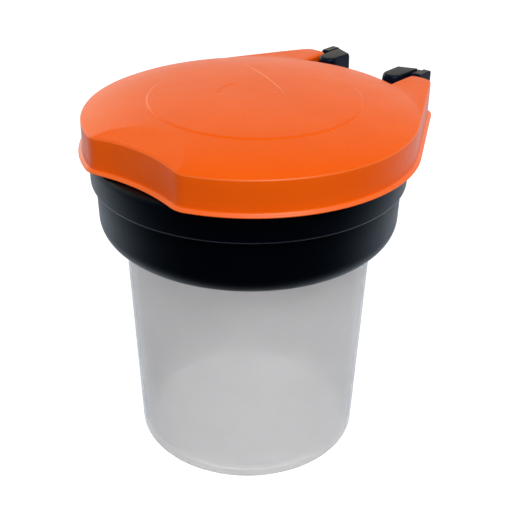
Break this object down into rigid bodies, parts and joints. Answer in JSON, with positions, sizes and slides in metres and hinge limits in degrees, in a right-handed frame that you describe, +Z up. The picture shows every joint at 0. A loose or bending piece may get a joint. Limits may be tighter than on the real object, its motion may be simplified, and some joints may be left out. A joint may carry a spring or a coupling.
{
  "type": "film developing tank",
  "caption": "Tapered frosted cup with a screwed black two-part collar and a domed orange lid on a rear hinge, with a finger recess at the front.",
  "frame": {"origin": "centre of the cup's flat base", "axes": "+Z up through the lid, -Y towards the finger recess, +Y towards the hinge, X along the hinge rod"},
  "size_m": [0.1272, 0.1443, 0.1446],
  "materials": {
    "cup_frosted": "frosted translucent moulding",
    "ring_black": "satin moulding",
    "gasket_rubber": "matt",
    "collar_black": "satin moulding",
    "lid_orange": "fine moulded grain",
    "seal_rubber": "matt",
    "hinge_black": "satin moulding",
    "washer_white": "smooth",
    "steel": "plated"
  },
  "bodies": {
    "cup_body": {"cup": "cup_frosted"},
    "ring_body": {"locking_ring": "ring_black"},
    "collar_body": {"hinge_collar": "collar_black", "cup_gasket": "gasket_rubber", "hinge_bracket": "hinge_black", "hinge_rod": "steel", "hinge_washer_left": "washer_white", "hinge_washer_right": "washer_white", "rod_cap_left": "hinge_black", "rod_cap_right": "hinge_black", "bracket_screw_left": "steel", "bracket_screw_right": "steel"},
    "lid_body": {"lid_shell": "lid_orange", "seal_retainer": "lid_orange", "lid_seal": "seal_rubber", "hinge_arm_left": "hinge_black", "hinge_arm_right": "hinge_black", "arm_screw_left_lower": "steel", "arm_screw_left_upper": "steel", "arm_screw_right_lower": "steel", "arm_screw_right_upper": "steel"}
  },
  "joints": [
    {"name": "ring_turn", "type": "hinge", "parent": "cup_body", "child": "ring_body", "pos_m": [0, 0, 0.1], "axis": [0, 0, 1], "range_deg": [0, 360]},
    {"name": "collar_lift", "type": "slide", "parent": "cup_body", "child": "collar_body", "axis": [0, 0, 1], "range_m": [0, 0.04]},
    {"name": "lid_hinge", "type": "hinge", "parent": "collar_body", "child": "lid_body", "pos_m": [0, 0.078, 0.1235], "axis": [-1, 0, 0], "range_deg": [0, 105]}
  ]
}
